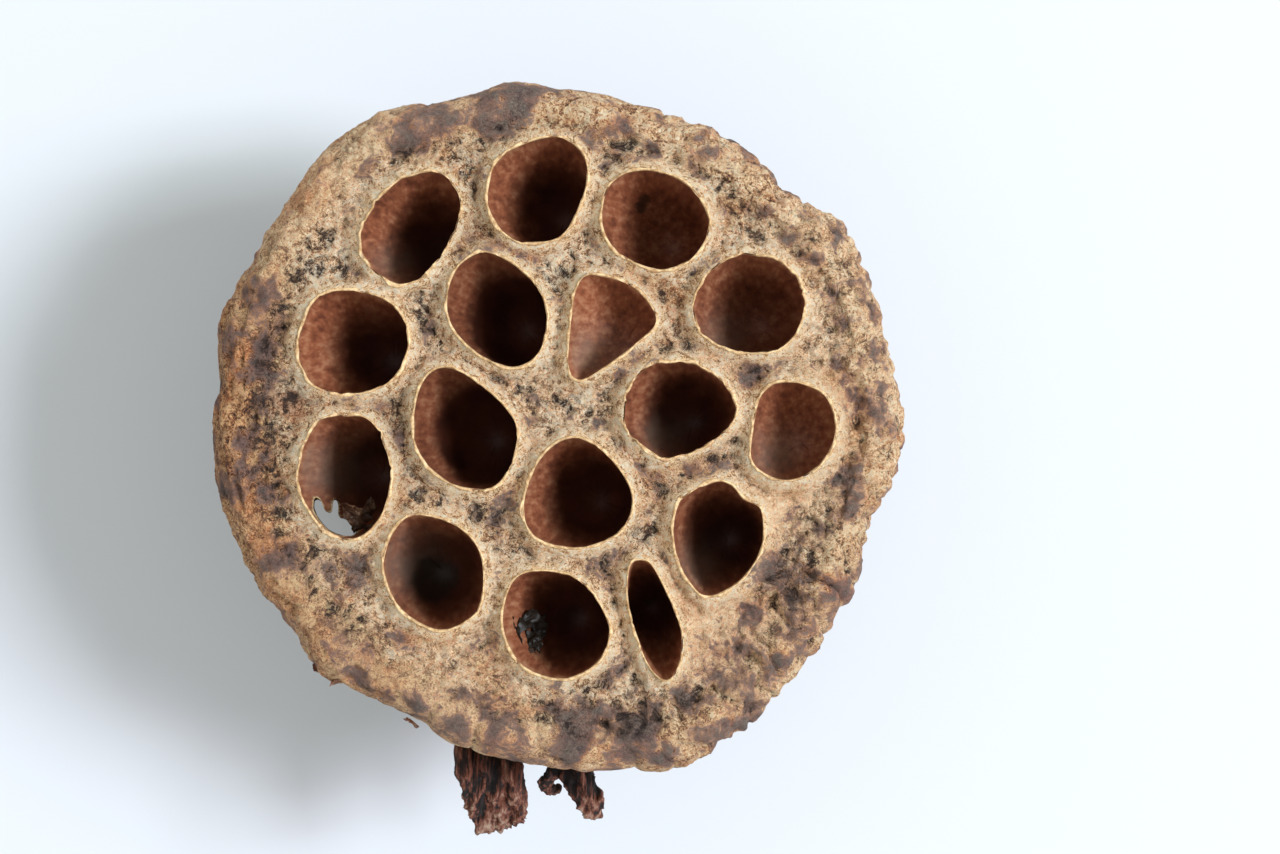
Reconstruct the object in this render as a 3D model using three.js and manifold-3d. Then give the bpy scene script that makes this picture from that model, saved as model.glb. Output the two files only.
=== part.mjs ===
// Dried lotus pod: the seed head with its sixteen empty cells, and the torn remains of its stem.
//
// Millimetres, +Z up. The pod stands upright on the small flat underside of its neck, and the origin
// is on that flat, under the middle of the seed face. The torn stem runs out towards -Y.

import * as THREE from 'three';
import { mergeVertices } from 'three/addons/utils/BufferGeometryUtils.js';
import Module from 'manifold-3d';

const wasm = await Module();
wasm.setup();

// Driving dimensions of the seed head
const FACE_HEIGHT = 58; // seed face above the surface that the pod rests on
const SECTORS = 96; // sides of the head as seen from above

// Radius of the pod at its widest ring, every 12 degrees counter-clockwise from +X
const RIM_RADII = [
  48.5, 48.2, 48.6, 48.9, 47.1, 47.5, 47.5, 48.2, 49.0, 49.7,
  51.5, 51.2, 50.3, 49.7, 49.3, 49.1, 48.4, 48.3, 47.8, 47.1,
  45.8, 46.6, 47.3, 48.8, 49.6, 49.6, 47.9, 46.9, 46.4, 46.7,
];

// Side of the head from the middle of the face to the edge of its foot:
// share of the rim radius, height, share of the pleats' depth
const HEAD_PROFILE = [
  [0.14, FACE_HEIGHT, 0],
  [0.3, FACE_HEIGHT + 0.1, 0],
  [0.46, FACE_HEIGHT - 0.1, 0],
  [0.6, FACE_HEIGHT - 0.2, 0],
  [0.72, FACE_HEIGHT, 0],
  [0.82, FACE_HEIGHT + 0.8, 0.1],
  [0.9, FACE_HEIGHT + 0.9, 0.3],
  [0.955, FACE_HEIGHT - 0.7, 0.5],
  [0.99, FACE_HEIGHT - 3.2, 0.5],
  [1, FACE_HEIGHT - 6, 0.4],
  [0.985, FACE_HEIGHT - 9.4, 0.6],
  [0.945, FACE_HEIGHT - 13, 0.8],
  [0.88, FACE_HEIGHT - 17.5, 1],
  [0.8, FACE_HEIGHT - 23.5, 1],
  [0.7, FACE_HEIGHT - 30, 1],
  [0.59, FACE_HEIGHT - 36.5, 1],
  [0.475, 15, 0.8],
  [0.37, 9.5, 0.6],
  [0.29, 5, 0.4],
  [0.235, 1.6, 0.15],
  [0.205, 0, 0],
];

// Pleats down the side: depth in mm, number round the head, phase
const PLEATS = [
  [0.9, 11, 0.6],
  [0.6, 17, 2],
  [0.4, 23, 4.1],
];

// The neck leans towards the stem below this height
const NECK_TOP = 16;
const NECK_LEAN = 3;

// Shape of a seed cell below its mouth
const CELL_SIDES = 18;
const CELL_ABOVE_FACE = 6;
const CELL_ROWS = [0, 0.2, 0.42, 0.62, 0.79, 0.92];
const CELL_FULLNESS = 2.5; // higher keeps the cell wide further down
const CELL_ROUNDNESS = 0.5;
const CELL_LEAN = [3.2, -1.6]; // from the middle of the mouth to the bottom, seen from above
const CELL_GATHER = 0.05; // how far the bottoms draw in towards the pod's axis

// Seed cells: depth, lean where it differs, and the mouth as a smooth closed outline through its points
const CELLS = {
  top: { depth: 18,
    mouth: [[-1.3, 40.9], [3, 39], [3.8, 34.5], [1, 27.9],
      [-2.7, 26.3], [-6.9, 27], [-9.9, 31.5], [-8.3, 37.9]] },
  upperLeft: { depth: 18,
    mouth: [[-18.3, 36], [-14.8, 34.3], [-14.1, 29.5], [-17.6, 23.1],
      [-21.7, 20.4], [-26.2, 22.7], [-27.6, 27.5], [-23.9, 33.6]] },
  upperRight: { depth: 17.5,
    mouth: [[12, 36.3], [17.9, 34.2], [21, 29.1], [18.9, 24.4],
      [14.1, 22.5], [8.4, 24.8], [6, 29.1], [7.3, 34.4]] },
  leftUpper: { depth: 18,
    mouth: [[-29.8, 19.5], [-24, 18], [-21.1, 13.3], [-23.2, 7.2],
      [-29, 5.2], [-34.6, 6.6], [-36.4, 12], [-34.1, 18]] },
  innerUpperLeft: { depth: 19,
    mouth: [[-10.6, 24.8], [-5.7, 22.6], [-2, 17.8], [-2.6, 11.2],
      [-6.7, 8.8], [-12.4, 11.5], [-15.6, 16.5], [-14.5, 22.2]] },
  innerTriangle: { depth: 9,
    mouth: [[4.9, 21.7], [10.5, 19.9], [13.6, 15.5], [11, 12.3], [6.2, 8.7],
      [2.9, 7], [1.4, 9], [1.7, 15.5], [2.7, 20.3]] },
  rightUpper: { depth: 18,
    mouth: [[26.3, 24.6], [32, 22.6], [34.2, 18.3], [32.5, 12.7],
      [27.6, 10.8], [21.3, 12.5], [18.9, 17.4], [21.5, 22.4]] },
  right: { depth: 11.5,
    mouth: [[32.5, 6.7], [37.3, 4.6], [38.6, -0.6], [35.9, -5.3],
      [31.4, -7], [27.2, -4.6], [27.2, 0.2], [28.6, 5.3]] },
  innerRight: { depth: 19,
    mouth: [[15.3, 9.5], [19.5, 9], [24.2, 4.9], [23.9, 0.4],
      [17.4, -3.5], [13.6, -3.5], [9.2, 1.2], [10.9, 7.5]] },
  innerLeft: { depth: 19,
    mouth: [[-16, 8.8], [-10.6, 6], [-6.2, 1.2], [-6.5, -4.2],
      [-9.6, -8.1], [-15.7, -7.1], [-20, -2], [-19.5, 5.7]] },
  innerLower: { depth: 20,
    mouth: [[2, -1.1], [6.7, -3.5], [10.2, -9], [8.6, -14],
      [2.8, -16.4], [-3.3, -14.9], [-4.9, -10.2], [-2.3, -3.7]] },
  leftTorn: { depth: 19, lean: [2.4, -0.6],
    mouth: [[-30.9, 2], [-26.2, 1], [-23.5, -6], [-25.2, -12.4],
      [-29.3, -15.3], [-34.1, -12.4], [-36.4, -6.4], [-34.4, 0.3]] },
  lowerLeft: { depth: 18, lean: [-0.4, -1.8],
    mouth: [[-19.7, -11.9], [-13.9, -13.7], [-10.8, -18], [-11.4, -25],
      [-16.7, -27.9], [-22.4, -24.6], [-24.5, -19], [-23, -14]] },
  bottom: { depth: 20,
    mouth: [[-2.5, -19.7], [3.2, -21.4], [7, -27.5], [5.2, -32.6],
      [0.4, -34.7], [-5.2, -32.8], [-7.8, -27.2], [-6.5, -21.3]] },
  lowerSliver: { depth: 18, lean: [0.6, -0.6],
    mouth: [[11.6, -18.2], [13.6, -19.9], [17, -27.8], [16.7, -32.9],
      [14.8, -34.9], [12.2, -32.2], [9.8, -24.5], [9.9, -19.3]] },
  lowerRight: { depth: 19,
    mouth: [[21.4, -7.4], [24.1, -7.7], [25.8, -9.7], [28.3, -11.3], [28.2, -16.6],
      [24.9, -21.4], [19.9, -22.9], [16.3, -17], [16.8, -10.3]] },
};

// Hole torn through the lower left wall of the cell at the left, from inside its mouth down to the side
const TEAR_OUTLINE = [[-33.9, -9.6], [-32.7, -10.6], [-31.4, -9.7], [-30.7, -12],
  [-28.4, -13.9], [-29.3, -14.9], [-31.9, -13.8], [-33.9, -11.9]];
const TEAR_TOP = FACE_HEIGHT + CELL_ABOVE_FACE;
const TEAR_BOTTOM = 18;
const TEAR_LEAN = [-0.085, -0.029]; // outward shift for each millimetre down

// Torn stem. The stub is the crushed stalk beside the neck, and the strips are what is left of its wall
const STEM_GAP = 0.4; // clear of the seed head, measured outwards from its axis
const STUB = {
  path: [[0.3, -5, 5.6], [0, -12, 5.4], [-0.8, -19, 6.6], [-1.6, -25, 10.2], [-2.6, -30, 15.5]],
  widths: [11, 12.5, 13, 13, 12],
  thicknesses: [9.6, 9.8, 8.8, 7.6, 5.5],
  sides: 14,
  hollow: 0,
};
const BROAD_STRIP = {
  path: [[-3.4, -26, 12.5], [-5.5, -31.5, 19], [-8.3, -38, 27.5], [-10.4, -44, 35.5],
    [-10.6, -48.5, 40.5], [-9.5, -53, 43.6], [-8.4, -57.2, 44.6]],
  widths: [8, 8.6, 9.2, 9.8, 9.8, 9, 7.6],
  thicknesses: [4, 3.8, 3.4, 3.2, 3, 2.8, 1.6],
  sides: 12,
  hollow: 1.1,
};
const NARROW_STRIP = {
  path: [[-0.6, -26, 12.5], [0.4, -33, 20], [1, -40, 28.5], [1.3, -46, 36], [2.2, -50, 40],
    [3.7, -53, 42.4], [5.2, -55.4, 43.6]],
  widths: [5.6, 5.4, 5.2, 5, 4.8, 4.4, 3.2],
  thicknesses: [3.2, 2.8, 2.6, 2.4, 2.2, 2, 1.2],
  sides: 10,
  hollow: 0.5,
};
const CURL = {
  path: [[1.3, -46.5, 37], [-0.6, -49, 39.6], [-2.2, -50.6, 40.4], [-1.8, -52, 39.2], [-0.2, -52.2, 38.4]],
  widths: [2.6, 2.6, 2.2, 1.8, 1.2],
  thicknesses: [1.4, 1.3, 1.2, 1.1, 0.9],
  sides: 8,
  hollow: 0,
};

const MATERIALS = {
  head: new THREE.MeshStandardMaterial({ color: 0xa8855c, roughness: 0.88, metalness: 0 }),
  stem: new THREE.MeshStandardMaterial({ color: 0x54362a, roughness: 0.85, metalness: 0 }),
};

// Skin over a stack of rings, closed by a fan of faces at both ends. The rings run
// counter-clockwise as seen from beyond the first tip.
function loft(firstTip, rings, lastTip) {
  const sides = rings[0].length;
  const points = [firstTip, ...rings.flat(), lastTip];
  const end = points.length - 1;
  const index = [];
  for (let side = 0; side < sides; side += 1) {
    const next = (side + 1) % sides;
    index.push(0, 1 + side, 1 + next);
    for (let row = 0; row < rings.length - 1; row += 1) {
      const upper = 1 + row * sides;
      const lower = upper + sides;
      index.push(upper + side, lower + side, upper + next);
      index.push(upper + next, lower + side, lower + next);
    }
    index.push(end, end - sides + next, end - sides + side);
  }
  const geometry = new THREE.BufferGeometry().setFromPoints(points);
  geometry.setIndex(index);
  return geometry;
}

function toSolid(geometry) {
  const bare = geometry.clone();
  bare.deleteAttribute('normal');
  bare.deleteAttribute('uv');
  const merged = mergeVertices(bare, 1e-4);
  return new wasm.Manifold(new wasm.Mesh({
    numProp: 3,
    vertProperties: new Float32Array(merged.attributes.position.array),
    triVerts: new Uint32Array(merged.index.array),
  }));
}

function toGeometry(solid) {
  const { vertProperties, triVerts } = solid.getMesh();
  const geometry = new THREE.BufferGeometry();
  geometry.setAttribute('position', new THREE.BufferAttribute(vertProperties, 3));
  geometry.setIndex(new THREE.BufferAttribute(triVerts, 1));
  geometry.computeVertexNormals();
  return geometry;
}

function smoothClosed(points, count) {
  const corners = points.map(([x, y]) => new THREE.Vector3(x, y, 0));
  const curve = new THREE.CatmullRomCurve3(corners, true, 'catmullrom', 0.5);
  return curve.getSpacedPoints(count).slice(0, count);
}

// Smooth curve through the radii listed round the pod
function rimRadius(angle) {
  const count = RIM_RADII.length;
  const place = THREE.MathUtils.euclideanModulo(angle / (2 * Math.PI), 1) * count;
  const first = Math.floor(place);
  const t = place - first;
  const [a, b, c, d] = [-1, 0, 1, 2].map((step) => RIM_RADII[(first + step + count) % count]);
  return b + 0.5 * t * (c - a + t * (2 * a - 5 * b + 4 * c - d + t * (3 * (b - c) + d - a)));
}

function pleats(angle) {
  return PLEATS.reduce((sum, [depth, waves, phase]) => sum + depth * Math.cos(waves * angle + phase), 0);
}

function neckShift(height) {
  const drop = Math.max(0, 1 - height / NECK_TOP);
  return -NECK_LEAN * drop * drop;
}

// Outside of the seed head, grown all over by a clearance
function headSkin(clearance) {
  const rings = HEAD_PROFILE.map(([share, height, pleatShare]) => (
    Array.from({ length: SECTORS }, (unused, sector) => {
      const angle = (2 * Math.PI * sector) / SECTORS;
      const radius = rimRadius(angle) * share + pleats(angle) * pleatShare + clearance;
      const x = radius * Math.cos(angle);
      const y = radius * Math.sin(angle) + neckShift(height);
      return new THREE.Vector3(x, y, height === 0 ? -clearance : height);
    })
  ));
  const top = new THREE.Vector3(0, 0, FACE_HEIGHT);
  const foot = new THREE.Vector3(0, neckShift(0), -clearance);
  return loft(top, rings, foot);
}

// Room that one seed grew in: the outline of its mouth, drawn in and rounded off below
function cellRoom({ mouth, depth, lean = CELL_LEAN }) {
  const outline = smoothClosed([...mouth].reverse(), CELL_SIDES);
  const centre = outline.reduce((sum, point) => sum.add(point), new THREE.Vector3());
  centre.divideScalar(CELL_SIDES);
  const meanRadius = outline.reduce((sum, point) => sum + point.distanceTo(centre), 0) / CELL_SIDES;
  const middle = (share) => centre.clone()
    .multiplyScalar(1 - CELL_GATHER * share)
    .add(new THREE.Vector3(...lean, 0).multiplyScalar(share))
    .setZ(FACE_HEIGHT - share * depth);
  const ring = (share) => {
    const size = (1 - share ** CELL_FULLNESS) ** CELL_ROUNDNESS;
    return outline.map((point) => {
      const arm = point.clone().sub(centre);
      const radius = THREE.MathUtils.lerp(arm.length(), meanRadius, share);
      return arm.setLength(radius * size).add(middle(share));
    });
  };
  const rings = CELL_ROWS.map(ring);
  const lifted = rings[0].map((point) => point.clone().setZ(FACE_HEIGHT + CELL_ABOVE_FACE));
  const lid = centre.clone().setZ(FACE_HEIGHT + CELL_ABOVE_FACE);
  return loft(lid, [lifted, ...rings], middle(1));
}

// Leaning prism through the wall, kept inside the mouth at the face
function tearRoom() {
  const ring = (height) => TEAR_OUTLINE.map(([x, y]) => {
    const drop = Math.max(0, FACE_HEIGHT - height);
    return new THREE.Vector3(x + TEAR_LEAN[0] * drop, y + TEAR_LEAN[1] * drop, height);
  }).reverse();
  const tip = (points) => points.reduce((sum, point) => sum.add(point), new THREE.Vector3())
    .divideScalar(points.length);
  const rings = [TEAR_TOP, FACE_HEIGHT, TEAR_BOTTOM].map(ring);
  return loft(tip(rings[0]), rings, tip(rings[2]));
}

function seedHead() {
  const rooms = [...Object.values(CELLS).map(cellRoom), tearRoom()];
  return rooms.reduce((solid, room) => solid.subtract(toSolid(room)), toSolid(headSkin(0)));
}

// Band of the given widths and thicknesses along a smooth path, its cross-section bent by "hollow"
function band({ path, widths, thicknesses, sides, hollow }) {
  const points = path.map((point) => new THREE.Vector3(...point));
  const curve = new THREE.CatmullRomCurve3(points, false, 'centripetal');
  const steps = 2 * (path.length - 1);
  const between = (values, share) => {
    const place = share * (values.length - 1);
    const first = Math.min(Math.floor(place), values.length - 2);
    return THREE.MathUtils.lerp(values[first], values[first + 1], place - first);
  };
  const rings = Array.from({ length: steps + 1 }, (unused, step) => {
    const share = step / steps;
    const point = curve.getPoint(share);
    const along = curve.getTangent(share);
    const side = new THREE.Vector3(1, 0, 0).projectOnPlane(along).normalize();
    const up = side.clone().cross(along);
    return Array.from({ length: sides }, (unusedSide, corner) => {
      const angle = (2 * Math.PI * corner) / sides;
      const across = (between(widths, share) / 2) * Math.cos(angle);
      const lift = (between(thicknesses, share) / 2) * Math.sin(angle) - hollow * Math.cos(angle) ** 2;
      return point.clone().addScaledVector(side, across).addScaledVector(up, lift);
    });
  });
  return loft(curve.getPoint(0), rings, curve.getPoint(1));
}

function tornStem() {
  const joined = [BROAD_STRIP, NARROW_STRIP, CURL].reduce(
    (solid, part) => solid.add(toSolid(band(part))),
    toSolid(band(STUB)),
  );
  return joined.subtract(toSolid(headSkin(STEM_GAP)));
}

function addPiece(group, name, solid, material) {
  const mesh = new THREE.Mesh(toGeometry(solid), material);
  mesh.name = name;
  group.add(mesh);
}

const pod = new THREE.Group();
addPiece(pod, 'seed_head', seedHead(), MATERIALS.head);
addPiece(pod, 'torn_stem', tornStem(), MATERIALS.stem);

export default pod;
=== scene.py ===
"""Dried lotus pod: a wrinkled seed head with sixteen empty cells, and the torn remains of its stem."""
import logging
import math
from dataclasses import dataclass, field
from enum import Enum
from typing import Callable, Sequence

import bpy
import numpy as np
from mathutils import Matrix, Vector, noise
from mathutils.kdtree import KDTree


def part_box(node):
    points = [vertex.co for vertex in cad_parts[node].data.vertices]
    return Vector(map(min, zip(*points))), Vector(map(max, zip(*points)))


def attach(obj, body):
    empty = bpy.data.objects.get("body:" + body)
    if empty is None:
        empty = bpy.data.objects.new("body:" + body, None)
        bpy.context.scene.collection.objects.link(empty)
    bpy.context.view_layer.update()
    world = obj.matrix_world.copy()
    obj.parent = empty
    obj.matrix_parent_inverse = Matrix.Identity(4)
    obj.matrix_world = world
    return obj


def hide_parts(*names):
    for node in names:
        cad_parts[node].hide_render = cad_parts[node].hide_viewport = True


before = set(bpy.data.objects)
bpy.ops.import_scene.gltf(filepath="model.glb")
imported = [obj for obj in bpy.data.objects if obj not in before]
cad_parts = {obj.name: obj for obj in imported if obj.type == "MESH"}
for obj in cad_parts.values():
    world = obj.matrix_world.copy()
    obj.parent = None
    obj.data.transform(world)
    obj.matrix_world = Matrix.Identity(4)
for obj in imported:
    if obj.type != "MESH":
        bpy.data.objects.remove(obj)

log = logging.getLogger("lotus_pod")
logging.basicConfig(level=logging.INFO, format="%(name)s: %(message)s")

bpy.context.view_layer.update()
MM = 0.001
TURN = 2 * math.pi
SOCKET = bpy.types.NodeSocket


def linear(hex_colour: str) -> tuple[float, float, float, float]:
    """Turns an sRGB hex colour into the linear colour that a shader socket takes.

    Args:
        hex_colour: Six hex digits, with or without a leading hash.

    Returns:
        Linear red, green and blue, and an alpha of one.
    """
    digits = hex_colour.lstrip("#")
    channels = [int(digits[i:i + 2], 16) / 255 for i in (0, 2, 4)]
    return (*[c / 12.92 if c <= 0.04045 else ((c + 0.055) / 1.055) ** 2.4 for c in channels], 1.0)


def per_mm(size_mm: float) -> float:
    """Returns the texture scale that gives a pattern of this size in millimetres."""
    return 1 / (size_mm * MM)


def add_node(tree: bpy.types.NodeTree, kind: str, inputs: dict | None = None,
             stops: Sequence[tuple[float, str]] = (), **settings: object) -> bpy.types.Node:
    """Adds a shader node with its settings, values and links.

    Args:
        tree: The node tree that gets the node.
        kind: Blender's name of the node's class.
        inputs: Socket name or number, and the value or the output socket that feeds it.
        stops: Places and hex colours of a colour ramp.
        settings: Properties of the node itself.

    Returns:
        The new node.
    """
    node = tree.nodes.new(kind)
    for name, value in settings.items():
        setattr(node, name, value)
    for name, value in (inputs or {}).items():
        if isinstance(value, SOCKET):
            tree.links.new(value, node.inputs[name])
        else:
            node.inputs[name].default_value = value
    for number, (place, colour) in enumerate(stops):
        element = node.color_ramp.elements[number] if number < 2 else node.color_ramp.elements.new(place)
        element.position = place
        element.color = linear(colour)
    return node


@dataclass
class Shading:
    """A material in the making, with one short method for each kind of node that the finishes use."""

    name: str
    roughness: float
    specular: float = 0.5

    def __post_init__(self) -> None:
        """Makes the material and its Principled shader."""
        self.material = bpy.data.materials.new(self.name)
        self.material.use_nodes = True
        self.tree = self.material.node_tree
        self.shader = self.tree.nodes["Principled BSDF"]
        self.shader.inputs["Roughness"].default_value = self.roughness
        self.shader.inputs["Specular IOR Level"].default_value = self.specular

    def place(self) -> SOCKET:
        """Returns the place on the mesh, in metres."""
        return add_node(self.tree, "ShaderNodeTexCoord").outputs["Object"]

    def stored(self, name: str) -> tuple[SOCKET, ...]:
        """Returns the four shares of a colour attribute."""
        node = add_node(self.tree, "ShaderNodeAttribute", attribute_name=name)
        parts = add_node(self.tree, "ShaderNodeSeparateColor", {"Color": node.outputs["Color"]}).outputs
        return parts["Red"], parts["Green"], parts["Blue"], node.outputs["Alpha"]

    def noise(self, place: SOCKET, size_mm: float, detail: float = 2.0, roughness: float = 0.5,
              distortion: float = 0.0) -> SOCKET:
        """Returns noise of this size."""
        return add_node(self.tree, "ShaderNodeTexNoise", {
            "Vector": place, "Scale": per_mm(size_mm), "Detail": detail, "Roughness": roughness,
            "Distortion": distortion}).outputs["Fac"]

    def math(self, operation: str, *values: object, clamp: bool = False) -> SOCKET:
        """Returns the outcome of a calculation."""
        return add_node(self.tree, "ShaderNodeMath", dict(enumerate(values)), operation=operation,
                        use_clamp=clamp).outputs[0]

    def ramp(self, value: SOCKET, places: Sequence[float], colours: Sequence[str]) -> SOCKET:
        """Returns the colour that a ramp gives a value."""
        stops = tuple(zip(places, colours))
        return add_node(self.tree, "ShaderNodeValToRGB", {"Fac": value}, stops).outputs["Color"]

    def ease(self, value: SOCKET, low: float, high: float, most: float, kind: str = "SMOOTHSTEP") -> SOCKET:
        """Returns a share from 0, where the value is low, to the most, where it is high."""
        return add_node(self.tree, "ShaderNodeMapRange", {
            "Value": value, "From Min": low, "From Max": high, "To Max": most},
            interpolation_type=kind).outputs["Result"]

    def mix(self, share: object, under: SOCKET, over: SOCKET | str, blend: str = "MIX") -> SOCKET:
        """Returns one colour with a share of another, a socket or a hex colour, laid over it."""
        above = linear(over) if isinstance(over, str) else over
        return add_node(self.tree, "ShaderNodeMix", {"Factor": share, 6: under, 7: above},
                        data_type="RGBA", blend_type=blend).outputs[2]

    def finish(self, colour: SOCKET, height: SOCKET, depth_mm: float,
               strength: float = 1.0) -> bpy.types.Material:
        """Links the colour and a bump of this depth to the shader, and returns the material."""
        bump = add_node(self.tree, "ShaderNodeBump", {
            "Height": height, "Strength": strength, "Distance": depth_mm * MM})
        self.tree.links.new(colour, self.shader.inputs["Base Color"])
        self.tree.links.new(bump.outputs["Normal"], self.shader.inputs["Normal"])
        return self.material


def smooth_step(low: float, high: float, value: np.ndarray) -> np.ndarray:
    """Eases from 0 at low to 1 at high."""
    t = np.clip((value - low) / (high - low), 0, 1)
    return t * t * (3 - 2 * t)


def fractal(points: np.ndarray, size: float | Sequence[float], octaves: int = 4,
            shift: float = 0.0) -> np.ndarray:
    """Soft cloudy noise.

    Args:
        points: Places in mm.
        size: Size of the largest clouds in mm, one for all axes or one each.
        octaves: How many times finer clouds are added.
        shift: Moves to another part of the noise.

    Returns:
        One value a point, mostly between -1 and 1.
    """
    scaled = points / np.asarray(size) + shift
    return np.array([noise.fractal(p, 0.9, 2.0, octaves) for p in scaled.tolist()])


def drift(points: np.ndarray, size: float, octaves: int,
          shifts: Sequence[float] = (3.0, 9.0, 15.0)) -> np.ndarray:
    """Returns soft offsets to bend a pattern with, one row a point and one column a shift."""
    return np.column_stack([fractal(points, size, octaves, shift) for shift in shifts])


def creases(points: np.ndarray, size: float | Sequence[float], octaves: int = 4,
            shift: float = 0.0) -> np.ndarray:
    """Noise of sharp ridges with round hollows between them, from 0 to about 1."""
    scaled = points / np.asarray(size) + shift
    values = np.array([noise.ridged_multi_fractal(p, 0.9, 2.1, octaves, 1.0, 2.0) for p in scaled.tolist()])
    return np.clip(values / 2.2, 0, 1)


def pebbles(points: np.ndarray, size: float, shift: float = 0.0) -> np.ndarray:
    """Noise of rounded lumps with narrow valleys between them, from 0 in a valley to 1 on a lump."""
    scaled = points / size + shift
    near = [noise.voronoi(p)[0] for p in scaled.tolist()]
    return np.clip(np.array([(d[1] - d[0]) * 1.6 for d in near]), 0, 1)


def deselect() -> None:
    """Leaves edit mode and deselects everything."""
    if bpy.context.object and bpy.context.object.mode != "OBJECT":
        bpy.ops.object.mode_set(mode="OBJECT")
    bpy.ops.object.select_all(action="DESELECT")


def pick(thing: bpy.types.Object) -> None:
    """Makes one object the only selected and active one."""
    deselect()
    thing.select_set(True)
    bpy.context.view_layer.objects.active = thing


def apply_modifier(thing: bpy.types.Object, kind: str, **settings: object) -> None:
    """Adds a modifier with these settings and applies it."""
    pick(thing)
    modifier = thing.modifiers.new(kind.title(), kind)
    for name, value in settings.items():
        setattr(modifier, name, value)
    bpy.ops.object.modifier_apply(modifier=modifier.name)


def corners_of(mesh: bpy.types.Mesh) -> np.ndarray:
    """Returns a mesh's vertices in mm, one row each."""
    flat = np.empty(len(mesh.vertices) * 3)
    mesh.vertices.foreach_get("co", flat)
    return flat.reshape(-1, 3) / MM


def move_corners(mesh: bpy.types.Mesh, places: np.ndarray) -> None:
    """Puts a mesh's vertices at these places in mm."""
    mesh.vertices.foreach_set("co", (places * MM).ravel())
    mesh.update()


def normals_of(mesh: bpy.types.Mesh) -> np.ndarray:
    """Returns a mesh's vertex normals, one row each."""
    flat = np.empty(len(mesh.vertices) * 3)
    mesh.vertex_normals.foreach_get("vector", flat)
    return flat.reshape(-1, 3)


def weld(thing: bpy.types.Object) -> None:
    """Merges doubled vertices and turns all faces outwards."""
    pick(thing)
    bpy.ops.object.mode_set(mode="EDIT")
    bpy.ops.mesh.select_all(action="SELECT")
    bpy.ops.mesh.remove_doubles(threshold=1e-6)
    bpy.ops.mesh.normals_make_consistent(inside=False)
    bpy.ops.object.mode_set(mode="OBJECT")


def wrapped_grid(name: str, columns: int, rows: int, place: Callable[[np.ndarray, np.ndarray], np.ndarray],
                 material: bpy.types.Material | None = None) -> bpy.types.Object:
    """Wraps a flat grid into a closed skin.

    Args:
        name: The piece's name.
        columns: Faces across.
        rows: Faces along.
        place: Gives the places in mm from the numbers of their column and row.
        material: The finish of the faces.

    Returns:
        The piece, with its seam welded and its faces pointing out.
    """
    deselect()
    bpy.ops.mesh.primitive_grid_add(x_subdivisions=columns, y_subdivisions=rows, size=1)
    thing = bpy.context.object
    thing.name = name
    share = corners_of(thing.data) * MM + 0.5
    column, row = np.rint(share[:, :2] * (columns, rows)).astype(int).T
    move_corners(thing.data, place(column % columns, row))
    weld(thing)
    if material:
        thing.data.materials.append(material)
    return thing


def joined(things: Sequence[bpy.types.Object], name: str) -> bpy.types.Object:
    """Joins objects into one and names it."""
    deselect()
    for thing in things:
        thing.select_set(True)
    bpy.context.view_layer.objects.active = things[0]
    bpy.ops.object.join()
    result = bpy.context.object
    result.name = result.data.name = name
    return result


def combine(body: bpy.types.Object, other: bpy.types.Object, operation: str) -> None:
    """Joins or cuts the body with another solid, which is then removed."""
    apply_modifier(body, "BOOLEAN", object=other, operation=operation, solver="MANIFOLD",
                   material_mode="TRANSFER")
    bpy.data.objects.remove(other)


def store(mesh: bpy.types.Mesh, name: str, channels: Sequence[np.ndarray]) -> None:
    """Stores three or four shares a vertex as a colour attribute."""
    attribute = mesh.attributes.new(name, "FLOAT_COLOR", "POINT")
    values = np.ones((len(mesh.vertices), 4))
    for number, channel in enumerate(channels):
        values[:, number] = channel
    attribute.data.foreach_set("color", values.ravel())


def raised(points: np.ndarray, height: float = 0.0) -> np.ndarray:
    """Gives flat points a height."""
    return np.column_stack([points, np.full(len(points), height)])


def search_tree(points: np.ndarray) -> KDTree:
    """Returns a search tree over these points."""
    tree = KDTree(len(points))
    for number, spot in enumerate(points.tolist()):
        tree.insert(spot, number)
    tree.balance()
    return tree


def spline(knots: np.ndarray, first: np.ndarray, t: np.ndarray) -> np.ndarray:
    """Follows a smooth curve through closed knots.

    Args:
        knots: The places to run through.
        first: The number of the knot before each stretch.
        t: How far along its stretch each wanted point lies, from 0 to 1.

    Returns:
        The points on the curve.
    """
    a, b, c, d = (knots[(first + step) % len(knots)] for step in range(4))
    square, cube = 2 * a - 5 * b + 4 * c - d, 3 * b - a - 3 * c + d
    return 0.5 * (2 * b + (c - a) * t + square * t ** 2 + cube * t ** 3)


def smooth_ring(points: Sequence[tuple[float, float]], count: int) -> np.ndarray:
    """Runs a smooth closed curve through a few points.

    Args:
        points: Corners in mm, in order.
        count: How many evenly spaced points to return.

    Returns:
        Points on the curve, one row each.
    """
    corners = np.array(points, float)
    t = np.linspace(0, 1, 24, endpoint=False)[None, :, None]
    curve = spline(corners, np.arange(len(corners))[:, None] - 1, t).reshape(-1, 2)
    closed = np.vstack([curve, curve[:1]])
    length = np.concatenate([[0], np.cumsum(np.linalg.norm(np.diff(closed, axis=0), axis=1))])
    wanted = np.linspace(0, length[-1], count, endpoint=False)
    return np.column_stack([np.interp(wanted, length, closed[:, axis]) for axis in (0, 1)])


class Texture(Enum):
    """How a stretch of the rim has wrinkled as it dried."""

    PEBBLES = "small round lumps"
    FOLDS = "deep folds that run outwards"
    SMOOTH = "broad soft folds"
    CRUMPLE = "like crumpled paper"
    STREAKS = "long wrinkles along the rim"


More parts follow.
